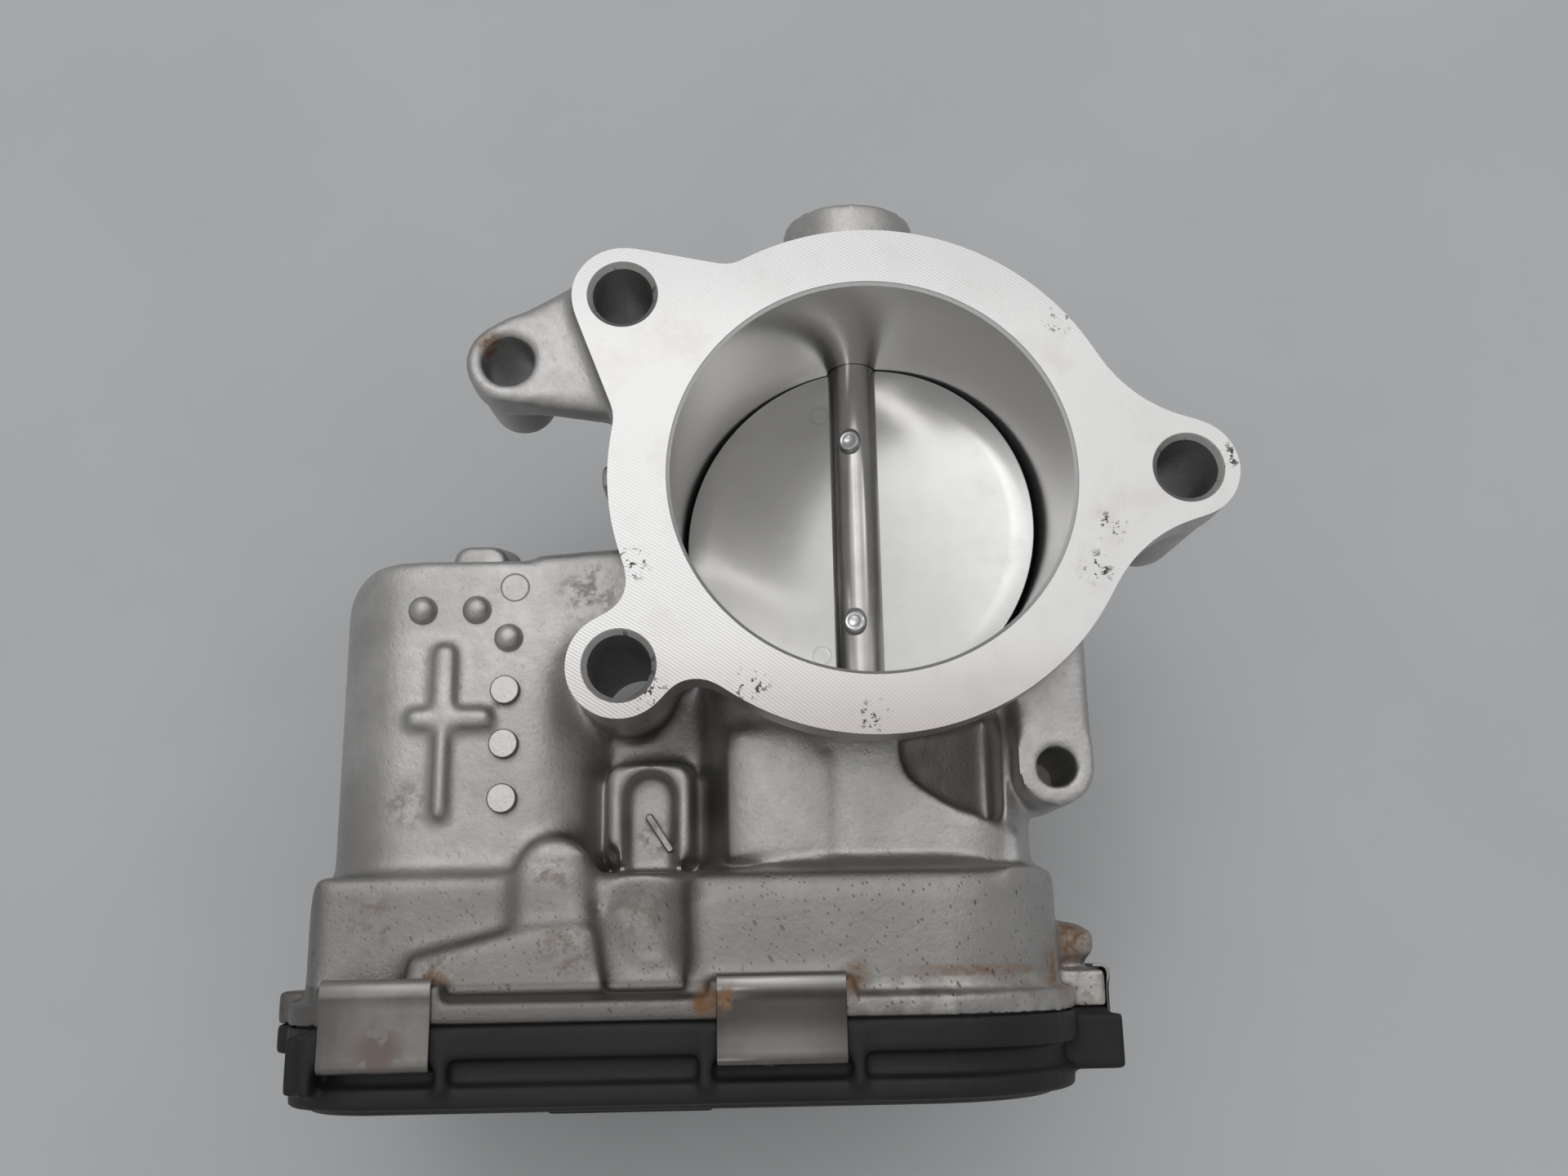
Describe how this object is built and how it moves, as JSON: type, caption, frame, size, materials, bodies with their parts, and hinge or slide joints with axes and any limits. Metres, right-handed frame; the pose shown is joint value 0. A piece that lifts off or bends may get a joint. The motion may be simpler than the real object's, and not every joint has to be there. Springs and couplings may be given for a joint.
{
  "type": "throttle body",
  "caption": "Electronic throttle body: cast housing with a motor-driven butterfly plate, two-stage gear train under a clipped cover, bolt-on flange and hose spigot.",
  "frame": {"origin": "centre of the main bore on the machined mounting face", "axes": "+Z along the bore and out of the mounting face; +Y along the throttle shaft, away from the gear cover; +X towards the single right-hand bolt lobe, away from the motor"},
  "size_m": [0.1364, 0.144, 0.082],
  "materials": {
    "cast_aluminium": "die cast, matt, machined bright on the faces",
    "cover_plastic": "glass-filled black plastic, fine matt",
    "gasket_rubber": "matt rubber",
    "clip_steel": "rolled stainless strip, lightly stained",
    "shaft_steel": "ground",
    "plate_metal": "satin",
    "screw_steel": "zinc plated",
    "bearing_steel": "polished",
    "gear_plastic": "moulded natural nylon",
    "magnet": "sintered, dull",
    "spring_steel": "oiled spring wire",
    "bush_plastic": "moulded black plastic",
    "motor_steel": "zinc plated deep-drawn can",
    "copper": "bare copper",
    "brass": "bare brass",
    "board": "green solder mask"
  },
  "bodies": {
    "body": {"housing": "cast_aluminium", "gear_cover": "cover_plastic", "cover_gasket": "gasket_rubber", "clip_top_left": "clip_steel", "clip_top_right": "clip_steel", "clip_end": "clip_steel", "clip_bottom_left": "clip_steel", "clip_bottom_right": "clip_steel", "needle_bearing_cup": "bearing_steel", "bearing_needles": "bearing_steel", "ball_bearing_outer": "bearing_steel", "bearing_balls": "bearing_steel", "shaft_seals": "gasket_rubber", "end_plug": "clip_steel", "return_spring": "spring_steel", "spring_bush": "bush_plastic", "idler_pin": "shaft_steel", "motor_can": "motor_steel", "motor_magnets": "magnet", "motor_end_plate": "bush_plastic", "motor_screws": "screw_steel", "motor_wave_spring": "spring_steel", "motor_terminals": "copper", "sensor_board": "board", "sensor_chip": "cover_plastic", "connector_pins": "brass", "lead_strips": "brass"},
    "throttle": {"throttle_shaft": "shaft_steel", "throttle_plate": "plate_metal", "plate_screws": "screw_steel", "ball_bearing_inner": "bearing_steel", "throttle_gear": "gear_plastic", "gear_insert": "shaft_steel", "sensor_magnet": "magnet"},
    "idler": {"idler_gear": "gear_plastic"},
    "rotor": {"motor_rotor": "copper", "motor_shaft": "shaft_steel", "motor_pinion": "brass"}
  },
  "joints": [
    {"name": "throttle_hinge", "type": "hinge", "parent": "body", "child": "throttle", "pos_m": [0, 0, -0.033], "axis": [0, -1, 0], "range_deg": [-9.8, 73], "stiffness_Nm_per_rad": 0.4},
    {"name": "idler_hinge", "type": "hinge", "parent": "body", "child": "idler", "pos_m": [-0.0296, 0, -0.033], "axis": [0, -1, 0], "range_deg": [-250, 38]},
    {"name": "motor_hinge", "type": "hinge", "parent": "body", "child": "rotor", "pos_m": [-0.0584, 0, -0.033], "axis": [0, -1, 0], "range_deg": [-130, 936]}
  ],
  "couplings": [
    {"joint": "idler_hinge", "follows": "throttle_hinge", "ratio": -3.3529},
    {"joint": "motor_hinge", "follows": "throttle_hinge", "ratio": 12.741}
  ]
}
